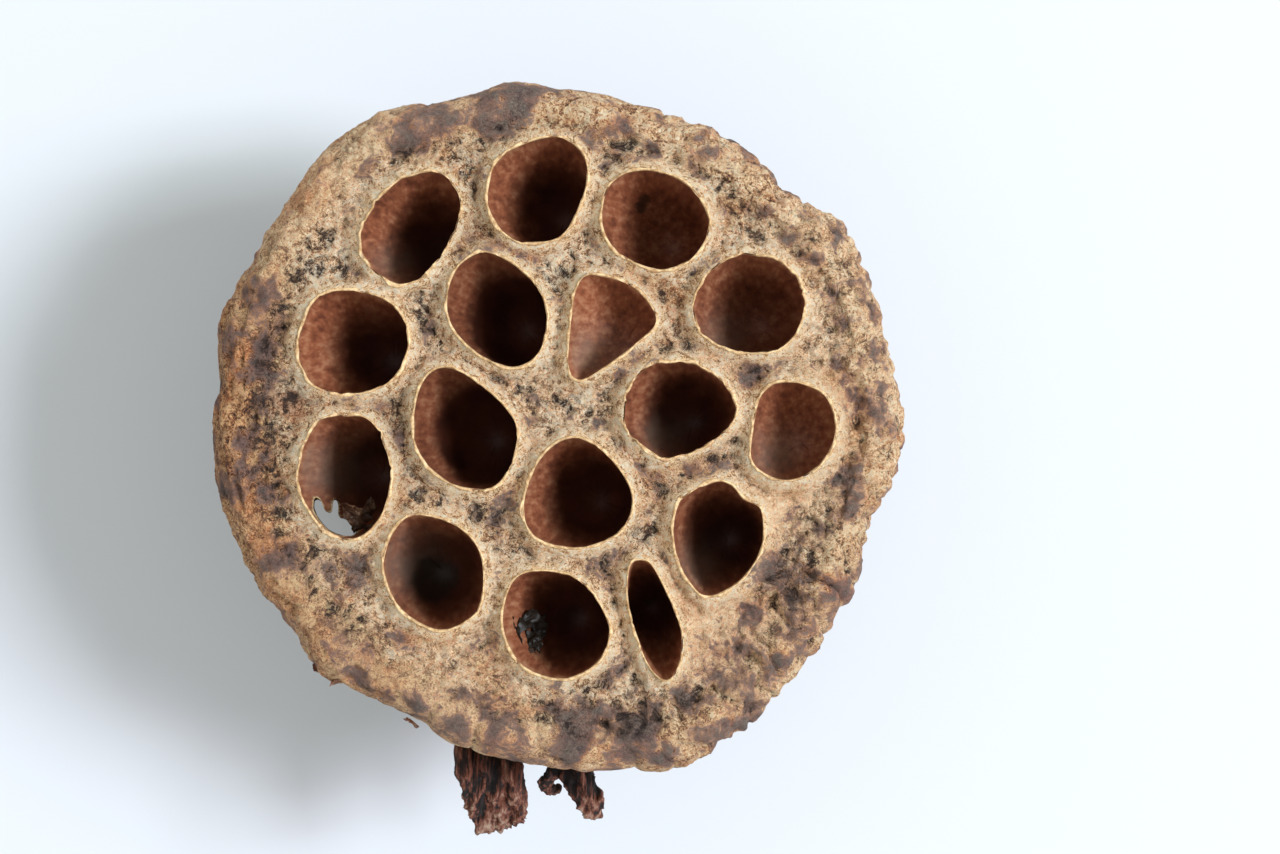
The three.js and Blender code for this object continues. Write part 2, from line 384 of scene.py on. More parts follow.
@dataclass(frozen=True)
class RimStretch:
    """A stretch of the rim: its middle and half-width in degrees, and how it wrinkled and coloured."""

    middle: float
    reach: float
    texture: Texture
    depth: float
    bruising: float
    warmth: float

    def weight(self, angle: np.ndarray) -> np.ndarray:
        """Returns how much of this stretch there is at each angle in degrees."""
        away = np.abs((angle - self.middle + 180) % 360 - 180)
        return 1 - smooth_step(self.reach - 9, self.reach + 9, away)


@dataclass(frozen=True)
class Patch:
    """A patch of tissue: its middle from the pod's axis and its radius in mm, and how much it differs."""

    x: float
    y: float
    radius: float
    lift: float = 0.0

    def share(self, points: np.ndarray) -> np.ndarray:
        """Returns how much of the patch there is at each point, from 0 to 1."""
        gone = np.hypot(points[:, 0] - self.x, points[:, 1] - self.y) / self.radius
        return np.exp(-0.8 * gone ** 2)


def patches(*rows: tuple[float, ...]) -> tuple[Patch, ...]:
    """Makes patches from their numbers."""
    return tuple(Patch(*row) for row in rows)


@dataclass(frozen=True)
class SeedCell:
    """An empty seed cell: its depth, mouth and lean in mm, how torn its lip is, and how much painted light
    its lining gets, below 0 painted shade.
    """

    name: str
    depth: float
    mouth: tuple[tuple[float, float], ...]
    lean: tuple[float, float] = (3.2, -1.6)
    raggedness: float = 0.12
    # Painted light that pales the lining's painted shade; below 0 it is more painted shade that darkens it.
    painted_light: float = 0.0

    def outline(self, count: int) -> np.ndarray:
        """Returns the mouth's outline, counter-clockwise, as count points in mm."""
        ring = smooth_ring(self.mouth[::-1], count)
        arms = ring - ring.mean(axis=0)
        flat = raised(ring, self.depth)
        rough = 0.7 * fractal(flat, 2.2, 4) + 1.8 * np.clip(fractal(flat, 1.1, 2, 7.0) - 0.35, 0, 1)
        away = arms / np.linalg.norm(arms, axis=1)[:, None]
        return ring + away * (rough * self.raggedness)[:, None]


CELLS = (
    SeedCell("top", 18, ((-1.3, 40.9), (3, 39), (3.8, 34.5), (1, 27.9), (-2.7, 26.3), (-6.9, 27),
        (-9.9, 31.5), (-8.3, 37.9))),
    SeedCell("upper_left", 18, ((-18.3, 36), (-14.8, 34.3), (-14.1, 29.5), (-17.6, 23.1), (-21.7, 20.4),
        (-26.2, 22.7), (-27.6, 27.5), (-23.9, 33.6)), raggedness=0.3),
    SeedCell("upper_right", 17.5, ((12, 36.3), (17.9, 34.2), (21, 29.1), (18.9, 24.4), (14.1, 22.5),
        (8.4, 24.8), (6, 29.1), (7.3, 34.4)), painted_light=0.6),
    SeedCell("left_upper", 18, ((-29.8, 19.5), (-24, 18), (-21.1, 13.3), (-23.2, 7.2), (-29, 5.2),
        (-34.6, 6.6), (-36.4, 12), (-34.1, 18)), raggedness=0.25),
    SeedCell("inner_upper_left", 19, ((-10.6, 24.8), (-5.7, 22.6), (-2, 17.8), (-2.6, 11.2), (-6.7, 8.8),
        (-12.4, 11.5), (-15.6, 16.5), (-14.5, 22.2)), painted_light=-0.6),
    SeedCell("inner_triangle", 9, ((4.9, 21.7), (10.5, 19.9), (13.6, 15.5), (11, 12.3), (6.2, 8.7),
        (2.9, 7), (1.4, 9), (1.7, 15.5), (2.7, 20.3)), painted_light=0.9),
    SeedCell("right_upper", 18, ((26.3, 24.6), (32, 22.6), (34.2, 18.3), (32.5, 12.7), (27.6, 10.8),
        (21.3, 12.5), (18.9, 17.4), (21.5, 22.4)), raggedness=0.35, painted_light=0.5),
    SeedCell("right", 11.5, ((32.5, 6.7), (37.3, 4.6), (38.6, -0.6), (35.9, -5.3), (31.4, -7),
        (27.2, -4.6), (27.2, 0.2), (28.6, 5.3)), painted_light=0.8),
    SeedCell("inner_right", 19, ((15.3, 9.5), (19.5, 9), (24.2, 4.9), (23.9, 0.4), (17.4, -3.5),
        (13.6, -3.5), (9.2, 1.2), (10.9, 7.5)), raggedness=0.4),
    SeedCell("inner_left", 19, ((-16, 8.8), (-10.6, 6), (-6.2, 1.2), (-6.5, -4.2), (-9.6, -8.1),
        (-15.7, -7.1), (-20, -2), (-19.5, 5.7)), painted_light=-0.6),
    SeedCell("inner_lower", 20, ((2, -1.1), (6.7, -3.5), (10.2, -9), (8.6, -14), (2.8, -16.4),
        (-3.3, -14.9), (-4.9, -10.2), (-2.3, -3.7))),
    SeedCell("left_torn", 19, ((-30.9, 2), (-26.2, 1), (-23.5, -6), (-25.2, -12.4), (-29.3, -15.3),
        (-34.1, -12.4), (-36.4, -6.4), (-34.4, 0.3)), lean=(2.4, -0.6), raggedness=0.25),
    SeedCell("lower_left", 18, ((-19.7, -11.9), (-13.9, -13.7), (-10.8, -18), (-11.4, -25),
        (-16.7, -27.9), (-22.4, -24.6), (-24.5, -19), (-23, -14)), lean=(-0.4, -1.8)),
    SeedCell("bottom", 20, ((-2.5, -19.7), (3.2, -21.4), (7, -27.5), (5.2, -32.6), (0.4, -34.7),
        (-5.2, -32.8), (-7.8, -27.2), (-6.5, -21.3))),
    SeedCell("lower_sliver", 18, ((11.6, -18.2), (13.6, -19.9), (17, -27.8), (16.7, -32.9),
        (14.8, -34.9), (12.2, -32.2), (9.8, -24.5), (9.9, -19.3)), lean=(0.6, -0.6)),
    SeedCell("lower_right", 19, ((21.4, -7.4), (24.1, -7.7), (25.8, -9.7), (28.3, -11.3), (28.2, -16.6),
        (24.9, -21.4), (19.9, -22.9), (16.3, -17), (16.8, -10.3))),
)

RIM_STRETCHES = (
    RimStretch(28, 50, Texture.PEBBLES, 1.35, 0.3, 0.0),
    RimStretch(-45, 26, Texture.FOLDS, 2.0, 0.4, 0.25),
    RimStretch(-95, 27, Texture.SMOOTH, 1.5, 0.5, 0.4),
    RimStretch(-140, 22, Texture.CRUMPLE, 1.8, 0.3, 0.9),
    RimStretch(176, 22, Texture.STREAKS, 1.7, 0.35, 1.0),
    RimStretch(135, 24, Texture.CRUMPLE, 1.4, 0.1, 0.3),
    RimStretch(100, 16, Texture.SMOOTH, 0.7, 0.3, 0.1),
)

BRUISES = patches(
    (14.1, 43, 1.6), (10.2, 41.3, 1.3), (13.4, 39.2, 1.3), (29.5, 30.4, 2.0), (35.8, 30.1, 1.8),
    (32.3, 27.3, 1.9), (38.6, 27.7, 1.7), (35.4, 23.5, 1.9), (37.9, 19.6, 2.0), (40.7, 20.3, 1.5),
    (43.3, 16.8, 1.5), (39.1, 14.3, 1.8), (44.4, 10.1, 1.8), (40, 7.7, 1.7), (45.6, 5.9, 1.5),
    (41.4, 4.9, 1.6), (46.3, 0, 2.0), (41.2, -6.7, 2.2), (40.7, -11.3, 2.6), (40.7, -16.8, 2.2),
    (35.8, -15.4, 2.4), (37.7, -21.3, 2.0), (33.7, -23.8, 2.6), (30.9, -32.2, 1.9), (23.9, -30.8, 2.2),
    (21.8, -35, 2.2), (27, -37.8, 1.8), (18.3, -39.2, 2.4), (23.9, -41.3, 2.0), (10, -44, 4.0),
    (1, -43.5, 3.4), (-9.8, -40.2, 3.6), (-41.6, 20.0, 2.4, 0.9), (-15.4, 42.5, 5.2), (-9, 44.5, 3.4),
    (0.8, 45.5, 2.4), (-21, 41.2, 3.2), (-4, 4.9, 1.2), (-3.4, 1.4, 1.1), (0.8, 2.1, 0.9), (5, 0.7, 1.1),
    (26.7, 7.7, 1.3), (11.3, -4.9, 1.0), (13.4, -8.4, 0.9), (29, -20, 2.6), (27.5, -25.5, 2.2),
    (32, -28, 2.2), (38, -27, 1.6), (34, -30.5, 1.8), (-1.5, -38.5, 1.6), (6, -38.5, 1.5), (43.5, 3, 1.6),
    (24.6, -4.6, 1.0), (-35, -33.5, 1.6), (-41, 11, 1.8), (-40.4, 5, 1.3))


TONES = patches(
    (20.5, -26, 8, 1.4), (31, -9.5, 5, 1.1), (37, 3, 6, 0.6), (-17, -33, 9, 0.6), (-31, 33, 10, 0.5),
    (-22, -2, 6, -0.8), (-11, 31, 6, -0.9), (-42, 2, 9, -0.35), (2, 1, 8, 0.25), (38, 8, 10, 0.35),
    (-38, -24, 9, 0.3), (12, 38, 7, 0.3), (-15, 42, 8, 0.3), (0, -42, 10, 0.25), (30, 22, 8, 0.3),
    (-37.6, 3.6, 2.2, -0.9), (-36.8, -9, 2.2, -0.8), (-29.2, 21, 2.2, -0.6), (20, 24, 4, -0.3),
    (4, 44.5, 6, -0.6), (-6, 24, 5, -0.3), (8, -18, 6, -0.2))

# Patches of painted sheen on the cell linings: grey light laid over their dark walls.
PAINTED_SHEENS = patches(
    (-34.0, -5.5, 3.6), (-22.6, -18.4, 4.2), (4.2, 10.6, 3.4), (23.4, 13.4, 3.0), (18.8, -19.6, 3.0),
    (14.4, -1.4, 2.6), (30.2, -3.6, 3.2), (-24, 23.4, 2.4))

LINING_STAINS = patches(
    (-18.2, -21.6, 3.3), (11.4, 31.9, 0.9), (12.0, 32.9, 0.8))

LIP_SECTION = ((-0.1, -0.7), (-0.14, -0.2), (0.0, 0.55), (0.35, 1.0), (0.75, 0.8), (1.0, 0.1), (1.3, -1.2))


# The tissue gives the eye a bleached, crumbly cream that swallows light, with dark cracks, painted shade in
# its creases and slate bruises.
@dataclass(frozen=True)
class SpongyTissue:
    """Dried spongy plant tissue, which shrank to a fibrous, wrinkled and matt skin."""

    name: str = "spongy_tissue"
    web: tuple[str, ...] = ("#5A3E2E", "#C68F64", "#FFCE9C", "#FFEAC6")
    rim: tuple[str, ...] = ("#5A3D2C", "#BA875E", "#EEBB8A", "#FFE4B8")
    warm: tuple[str, ...] = ("#382217", "#764D34", "#AC794C", "#CDA477")
    flank: tuple[str, ...] = ("#2E1F16", "#533927", "#765335", "#957650")
    bruise: tuple[str, ...] = ("#967A6C", "#7C625B", "#5F5050", "#404248")
    lip: tuple[str, ...] = ("#A87C54", "#F0C28E", "#FFDCA8", "#FFE9C4")
    bleached: str = "#FFD2A4"
    browned: str = "#6E452C"
    rust: str = "#C8804E"
    # Colour of the dark crack lines and of the painted shade in the creases.
    crease: str = "#382A22"
    speckle: tuple[str, str] = ("#120806", "#FFEEE4")
    cloud_mm: float = 5.5
    wrinkle_mm: float = 2.2
    grain_mm: float = 0.5
    line_mm: float = 3.2
    bump_mm: float = 0.8
    stops: tuple[float, ...] = (0.72, 0.78, 0.84, 0.92)
    bruise_stops: tuple[float, ...] = (0.3, 0.6, 0.95, 1.15)
    speckle_stops: tuple[float, ...] = (0.35, 0.59)
    speckle_share: float = 0.48
    line_width: float = 0.028
    roughness: float = 0.84
    specular: float = 0.35

    def build(self) -> bpy.types.Material:
        """Makes the material. Broad zones come from the head's attributes, fine ones from noise."""
        skin = Shading(self.name, self.roughness, self.specular)
        place = skin.place()
        *zones, tone = skin.stored("zones")
        bruised, sunk, lip, _ = skin.stored("marks")
        clouds = skin.noise(place, self.cloud_mm, 4.0, 0.6, 0.5)
        wrinkles = skin.noise(place, self.wrinkle_mm, 9.0, 0.72, 1.4)
        grain = skin.noise(place, self.grain_mm, 5.0, 0.75, 1.6)
        mixed = skin.math("MULTIPLY_ADD", grain, 0.7, wrinkles)
        colour, *shades, edge = [skin.ramp(mixed, self.stops, colours) for colours in (
            self.web, self.rim, self.warm, self.flank, self.lip)]
        for zone, shade in zip(zones, shades):
            colour = skin.mix(zone, colour, shade)
        for shade, end in ((self.bleached, 1.0), (self.browned, 0.0)):
            colour = skin.mix(skin.ease(tone, 0.5, end, 0.7, "LINEAR"), colour, shade)
        broad = skin.noise(place, self.cloud_mm * 1.7, 5.0, 0.65, 1.0)
        colour = skin.mix(skin.ease(broad, 0.46, 0.68, 0.55), colour, self.rust)
        colour = skin.mix(skin.math("MULTIPLY", lip, 0.9), colour, edge)
        fine = skin.math("MULTIPLY_ADD", mixed, 2.4, -2.04)
        uneven = skin.math("ADD", skin.math("MULTIPLY_ADD", clouds, 2.6, -1.3), fine)
        stain = skin.math("ADD", bruised, uneven)
        bruise = skin.ramp(stain, self.bruise_stops, self.bruise)
        colour = skin.mix(skin.ease(stain, 0.4, 0.66, 0.85), colour, bruise)
        speckle = skin.ramp(grain, self.speckle_stops, self.speckle)
        colour = skin.mix(self.speckle_share, colour, speckle, "OVERLAY")
        middle = skin.noise(place, self.line_mm, 8.0, 0.7, 1.2)
        # Dark crack lines run only where the skin is sunk, and shadow lays painted shade over the creases
        # and valleys.
        thin = skin.math("MULTIPLY", skin.math("COMPARE", middle, 0.5, self.line_width), sunk)
        shadow = skin.ease(skin.math("SUBTRACT", sunk, fine), 0.25, 1.15, 0.8)
        colour = skin.mix(skin.math("MULTIPLY_ADD", thin, 0.7, shadow, clamp=True), colour, self.crease)
        return skin.finish(colour, skin.math("MULTIPLY_ADD", grain, 0.8, wrinkles), self.bump_mm)


# The lining gives the eye red-brown hollows, darkened with depth by painted shade and with a faint sheen
# that is partly the real gloss and partly painted sheen, against the pale matt tissue.
@dataclass(frozen=True)
class PaperyLining:
    """Papery lining of a seed cell: red-brown and faintly glossy, streaked, and pale at its lip."""

    name: str = "papery_lining"
    colours: tuple[str, ...] = ("#683A28", "#915639", "#B5815E")
    # Colours of the painted shade deep in a cell.
    deep: tuple[str, ...] = ("#32160D", "#4F2819")
    parchment: tuple[str, ...] = ("#B58C5E", "#ECCB98")
    stain: str = "#221C14"
    # Colour of the painted sheen on the dark walls.
    painted_sheen: str = "#857363"
    streak_mm: float = 0.9
    streak_length: float = 30.0
    cloud_mm: float = 6.0
    cloud_share: float = 0.35
    mottle_mm: float = 0.8
    bump_mm: float = 0.1
    roughness: float = 0.5
    specular: float = 0.3

    def build(self) -> bpy.types.Material:
        """Makes the material. The marks give stains, the painted shade deeper in the cell, the lip and the
        painted sheen.
        """
        paper = Shading(self.name, self.roughness, self.specular)
        place = paper.place()
        stained, depth, lip, painted_sheen = paper.stored("marks")
        drawn = add_node(paper.tree, "ShaderNodeMapping", {
            "Vector": place, "Scale": (1, 1, 1 / self.streak_length)}).outputs["Vector"]
        streaks = paper.noise(drawn, self.streak_mm, 4.0, 0.6)
        clouds = paper.noise(place, self.cloud_mm)
        mixed = add_node(paper.tree, "ShaderNodeMix", {
            "Factor": self.cloud_share, "A": streaks, "B": clouds}).outputs["Result"]
        upper = paper.ramp(mixed, (0.35, 0.5, 0.66), self.colours)
        lower = paper.ramp(clouds, (0.35, 0.65), self.deep)
        mottle = paper.noise(place, self.mottle_mm, 5.0, 0.7)
        pale = paper.ramp(mottle, (0.4, 0.6), self.parchment)
        colour = upper
        # The second share lays painted shade deeper in the cell, the fourth a painted sheen.
        for share, shade in ((depth, lower), (painted_sheen, self.painted_sheen), (stained, self.stain), (lip, pale)):
            colour = paper.mix(share, colour, shade)
        return paper.finish(colour, streaks, self.bump_mm, 0.6)


# The fibre gives the eye long dark strands with paler fraying edges and painted shade near black in the
# grooves between them, darker than all the rest of the pod.
@dataclass(frozen=True)
class TornFibre:
    """Torn stalk tissue: dark brown fibres, paler at their fraying ends and on the strand ridges, with
    painted shade in the grooves.
    """

    name: str = "torn_fibre"
    # The darkest colours are the painted shade in the grooves between strands.
    colours: tuple[str, ...] = ("#090504", "#20120C", "#6E3D2C", "#A28973")
    fibre_mm: float = 0.5
    fibre_length: float = 16.0
    bump_mm: float = 0.2
    roughness: float = 0.7
    specular: float = 0.35

    def build(self) -> bpy.types.Material:
        """Makes the material, with its fibres drawn out along the stem."""
        stalk = Shading(self.name, self.roughness, self.specular)
        drawn = add_node(stalk.tree, "ShaderNodeMapping", {
            "Vector": stalk.place(), "Rotation": (math.radians(45), 0, 0),
            "Scale": (1, 1, self.fibre_length)}, vector_type="TEXTURE").outputs["Vector"]
        fibres = stalk.noise(drawn, self.fibre_mm, 5.0, 0.65)
        # Low shares, in the grooves between strands, give the near black painted shade; high ones the paler
        # ridges and fraying ends.
        fray_and_shade = stalk.stored("marks")[0]
        tone = stalk.math("ADD", stalk.math("MULTIPLY_ADD", fray_and_shade, 0.62, -0.27), fibres)
        return stalk.finish(stalk.ramp(tone, (0.34, 0.48, 0.62, 0.84), self.colours), fibres, self.bump_mm)


@dataclass(frozen=True)
class Strip:
    """A torn band of stalk: its path, widths and thicknesses in mm, and how far it is hollowed."""

    path: tuple[tuple[float, float, float], ...]
    widths: tuple[float, ...]
    thicknesses: tuple[float, ...]
    hollow: float
    ribs: int

    def skin(self, name: str, columns: int, rows: int) -> bpy.types.Object:
        """Makes the band as a closed ribbed skin."""
        knots = np.array(self.path, float)
        knots = np.vstack([2 * knots[0] - knots[1], knots, 2 * knots[-1] - knots[-2]])

        def point(share: np.ndarray) -> np.ndarray:
            place = np.clip(share, 0, 1) * (len(self.path) - 1)
            first = np.minimum(np.floor(place).astype(int), len(self.path) - 2)
            return spline(knots, first, (place - first)[:, None])

        def place(column: np.ndarray, row: np.ndarray) -> np.ndarray:
            share = np.clip((row - 1) / (rows - 2), 0, 1)
            end = (row == 0) | (row == rows)
            middle = point(share)
            ahead = point(np.minimum(share + 0.01, 1)) - point(np.maximum(share - 0.01, 0))
            ahead /= np.linalg.norm(ahead, axis=1)[:, None]
            side = np.array([1.0, 0, 0]) - ahead * ahead[:, :1]
            side /= np.linalg.norm(side, axis=1)[:, None]
            up = np.cross(side, ahead)
            angle = column / columns * TURN
            knots_at = np.linspace(0, 1, len(self.widths))
            width = np.interp(share, knots_at, self.widths) / 2
            thick = np.interp(share, knots_at, self.thicknesses) / 2
            width = np.where(end, 0, width)
            thick = np.where(end, 0, thick)
            rib = 1 + 0.28 * np.cos(np.cos(angle) * math.pi * self.ribs)
            lift = thick * np.sin(angle) * rib - self.hollow * np.cos(angle) ** 2 * ~end
            return middle + side * (width * np.cos(angle))[:, None] + up * lift[:, None]

        return wrapped_grid(name, columns, rows, place)


@dataclass(frozen=True)
class Scrap:
    """A crumpled scrap of torn tissue: its middle, length, width and turn, and how dark it is."""

    middle: tuple[float, float, float]
    length: float
    width: float
    turn: float
    rise: float
    stain: float

    def build(self, material: bpy.types.Material) -> bpy.types.Object:
        """Makes the scrap as a thin closed sheet, crumpled by noise."""
        turn = math.radians(self.turn)
        along = np.array((math.cos(turn) * self.length / 2, math.sin(turn) * self.length / 2, self.rise / 2))
        start, end = (tuple(np.array(self.middle) + side * along) for side in (-1, 1))
        strip = Strip((start, self.middle, end), (self.width * 0.5, self.width, self.width * 0.3),
                      (0.35, 0.3, 0.2), 0.3, 2)
        thing = strip.skin("scrap", 28, 24)
        points = corners_of(thing.data)
        crumple = drift(points, 1.5, 4, (2.0, 6.0, 10.0))
        move_corners(thing.data, points + crumple * (0.7, 0.7, 0.9))
        pale = 0.35 * smooth_step(-0.2, 0.6, fractal(points, 0.9, 3)) * (1 - self.stain)
        shares = (np.full(len(points), share) for share in (self.stain, 0.3))
        store(thing.data, "marks", (*shares, pale, np.zeros(len(points))))
        thing.data.materials.append(material)
        return thing


SCRAPS = (
    Scrap((-29.0, -11.2, 54.6), 3.2, 2.2, -30, -1.5, 0.7),
    Scrap((-28.6, -12.9, 54.0), 4.2, 2.2, -50, -2.0, 0.8),
    Scrap((-27.8, -14.0, 53.6), 3.0, 1.8, 15, 1.0, 0.8),
    Scrap((-27.2, -11.2, 52.4), 3.4, 2.4, 70, -2.2, 0.85),
    Scrap((-7.0, -28.6, 50.6), 5.4, 3.2, -60, -2.4, 1.0),
    Scrap((-5.8, -27.6, 49.2), 5.4, 3.0, 35, -2.4, 1.0),
    Scrap((-4.6, -30.0, 47.8), 5.0, 3.0, -30, 1.8, 1.0),
    Scrap((-3.0, -28.4, 45.4), 4.6, 2.6, 80, 1.0, 1.0),
    Scrap((-5.6, -31.4, 49.4), 3.6, 1.8, 10, -1.2, 0.9),
    Scrap((-33.9, -33.0, 53.6), 2.4, 1.0, 60, 0.8, 0.3),
    Scrap((-31.4, -35.6, 53.2), 1.9, 0.8, 20, 0.5, 0.2),
    Scrap((-21.2, -41.2, 53.6), 2.2, 0.9, -30, 0.6, 0.3),
)


@dataclass
class SeedHead:
    """The receptacle: sizes in mm, and the steps that build and dress it."""

    face_height: float
    rim_radii: tuple[float, ...] = (
        48.5, 48.2, 48.6, 48.9, 47.1, 47.5, 47.5, 48.2, 49.0, 49.7,
        51.5, 51.2, 50.3, 49.7, 49.3, 49.1, 48.4, 48.3, 47.8, 47.1,
        45.8, 46.6, 47.3, 48.8, 49.6, 49.6, 47.9, 46.9, 46.4, 46.7,
    )
    profile: tuple[tuple[float, float, float], ...] = (
        (0.14, 0, 0), (0.3, 0.1, 0), (0.46, -0.1, 0), (0.6, -0.2, 0), (0.72, 0, 0), (0.82, 0.8, 0.1),
        (0.9, 0.9, 0.3), (0.955, -0.7, 0.5), (0.99, -3.2, 0.5), (1, -6, 0.4), (0.985, -9.4, 0.6),
        (0.945, -13, 0.8), (0.88, -17.5, 1), (0.8, -23.5, 1), (0.7, -30, 1), (0.59, -36.5, 1),
        (0.475, -43, 0.8), (0.37, -48.5, 0.6), (0.29, -53, 0.4), (0.235, -56.4, 0.15), (0.205, -58, 0),
    )
    rim_arc: float = 48.0
    crest: float = 0.85
    valley: float = 1.7
    valley_width: float = 3.0
    fibre_mm: float = 2.6
    crumb_mm: float = 1.0
    lump_mm: float = 3.4
    paper_mm: float = 4.2
    flank_rib: float = 1.3
    bruise_strength: float = 0.78
    fold_mm: float = 5.4
    broad_mm: float = 11.0
    pleat_waves: tuple[tuple[float, int, float], ...] = ((0.9, 11, 0.6), (0.6, 17, 2.0), (0.4, 23, 4.1))
    neck_top: float = 16.0
    neck_lean: float = 3.0
    blank_sides: int = 192
    voxel: float = 0.47
    cell_sides: int = 96
    cell_rows: int = 26
    cell_fullness: float = 2.5
    cell_roundness: float = 0.5
    cell_gather: float = 0.05
    above_face: float = 7.0
    lip_width: float = 0.34
    lip_rise: float = 0.3
    lip_share: float = 0.055
    room_gap: float = 0.16
    buried: float = 0.4
    # Depth in mm where the painted shade in the cells begins.
    shade_from: float = 7.0
    tear: tuple[tuple[float, float], ...] = (
        (-34.2, -9.6), (-33.4, -9.8), (-32.8, -11.2), (-31.9, -11.4), (-31.6, -9.6), (-30.9, -10.0),
        (-30.8, -12.0), (-29.7, -12.5), (-28.8, -13.6), (-28.1, -14.0), (-28.9, -14.9), (-30.7, -14.7),
        (-32.2, -14.0), (-33.7, -12.4), (-34.4, -10.9))
    tear_centre: tuple[float, float] = (-31.9, -12.4)
    tear_grid: tuple[int, int] = (72, 14)
    tear_top: float = 64.0
    tear_bottom: float = 18.0
    tear_lean: tuple[float, float] = (-0.085, -0.029)
    tear_roughness: float = 0.09
    most_triangles: int = 190000
    mouths: list[np.ndarray] = field(default_factory=list)

    def radius(self, angle: np.ndarray) -> np.ndarray:
        """Returns the pod's radius at its widest ring for each angle in radians."""
        place = (angle / TURN % 1) * len(self.rim_radii)
        first = np.floor(place).astype(int)
        return spline(np.array(self.rim_radii), first - 1, place - first)

    def above(self, low: float, high: float, height: np.ndarray) -> np.ndarray:
        """Returns a share from 0 at the depth low below the face, in mm, to 1 at the depth high."""
        return smooth_step(self.face_height - low, self.face_height - high, height)

    def profile_height(self, share: np.ndarray) -> np.ndarray:
        """Returns the height of the upper side, in mm, at each share of the rim radius."""
        upper = self.profile[:10]
        return self.face_height + np.interp(share, [row[0] for row in upper], [row[1] for row in upper])

    def from_mouth(self, points: np.ndarray) -> np.ndarray:
        """Returns each point's distance from the nearest mouth's outline, seen from above."""
        tree = search_tree(raised(np.vstack(self.mouths)))
        return np.array([tree.find((x, y, 0))[2] for x, y in points[:, :2].tolist()])

    def web_relief(self, points: np.ndarray, away: np.ndarray) -> tuple[np.ndarray, np.ndarray]:
        """Works out the tissue between the cells, which sank into fibrous valleys.

        Args:
            points: Places in mm.
            away: Their distances in mm from the nearest mouth.

        Returns:
            The height in mm above the plain face, and how deep each point lies in a crease, from 0 to 1,
            which sets the painted shade in the creases.
        """
        flat = points * (1, 1, 0)
        bent = flat + 0.8 * raised(drift(flat, 2.4, 3, (3.0, 9.0)))
        ridges = creases(bent, self.fibre_mm, 5)
        fine = fractal(flat, self.crumb_mm, 4, 2.0)
        rough = smooth_step(0.4, 1.7, away)
        height = self.crest * np.exp(-away ** 2) - self.valley * smooth_step(0.4, self.valley_width, away)
        height += rough * (1.3 * ridges - 0.6 + 0.5 * fine) + 0.08 * fine
        # How sunk a point is sets the painted shade: more in the fibrous creases and in the valleys away
        # from the mouths.
        sunk = rough * (0.22 + 0.7 * smooth_step(0.75, 0.15, ridges + 0.3 * fine))
        sunk += 0.22 * smooth_step(1.6, 3.4, away)
        return height, sunk

    def rim_relief(self, points: np.ndarray, angle: np.ndarray,
                   share: np.ndarray) -> tuple[np.ndarray, np.ndarray, np.ndarray]:
        """Works out the wrinkles of the rim.

        Args:
            points: Places in mm.
            angle: Their angles in degrees.
            share: Their distances from the axis, as shares of the rim radius.

        Returns:
            The height in mm along the normal, how bruised each point is, and how deep it lies in a crease
            (the share of painted shade), the last two from 0 to 1.
        """
        bent = points + 1.1 * drift(points, 3.6, 3)
        lumps = pebbles(bent, self.lump_mm)
        paper = creases(bent, self.paper_mm, 6)
        soft = fractal(points, 8.0, 3)
        fine = fractal(points, 1.3, 4, 5.0)
        arc = np.radians(angle) * self.rim_arc
        along = np.column_stack([arc / 7, share * self.rim_arc / 1.5, points[:, 2] / 5])
        radial = np.abs(np.sin(arc / self.fold_mm * math.pi + 3.2 * soft)) * (0.6 + 0.8 * paper)
        broad = np.abs(np.sin(arc / self.broad_mm * math.pi + 1.6 * fractal(points, 14.0, 3)))
        streaks = creases(along, 1.0, 5)
        texture = {
            Texture.PEBBLES: 0.7 * smooth_step(0.0, 0.75, lumps) + 0.7 * paper - 0.75,
            Texture.FOLDS: 0.85 * radial ** 0.7 - 0.6 + 0.45 * paper,
            Texture.SMOOTH: 0.85 * broad ** 0.5 - 0.6 + 0.22 * paper,
            Texture.CRUMPLE: 1.15 * paper - 0.6,
            Texture.STREAKS: 0.9 * streaks - 0.45 + 0.25 * paper,
        }
        # Where each texture lies low, its valleys get painted shade.
        low = {
            Texture.PEBBLES: 0.9 - 1.4 * lumps - 0.6 * paper, Texture.FOLDS: 0.8 - 1.6 * radial,
            Texture.SMOOTH: 0.6 - 2.6 * broad, Texture.CRUMPLE: 0.95 - 2.1 * paper,
            Texture.STREAKS: 0.9 - 2.0 * streaks,
        }
        tops = {
            Texture.PEBBLES: 0.35 * (lumps - 0.45), Texture.FOLDS: 0.5 * (radial - 0.6),
            Texture.SMOOTH: 0.55 * (broad - 0.5), Texture.CRUMPLE: 0.25 * (paper - 0.4),
            Texture.STREAKS: 0.25 * (paper - 0.4),
        }
        height = 0.5 * fractal(points, 7.0, 3, 21.0) + 0.2 * fine
        bruise = np.zeros(len(points))
        sunk = np.zeros(len(points))
        patchy = 0.7 * fractal(bent, 5.0, 4, 17.0)
        for stretch in RIM_STRETCHES:
            weight = stretch.weight(angle)
            height += weight * stretch.depth * texture[stretch.texture]
            bruise = np.maximum(bruise, weight * (stretch.bruising + tops[stretch.texture] + patchy))
            sunk = np.maximum(sunk, weight * np.clip(low[stretch.texture] + 0.3 * fine, 0, 1))
        return height, np.clip(bruise, 0, 1.2), sunk

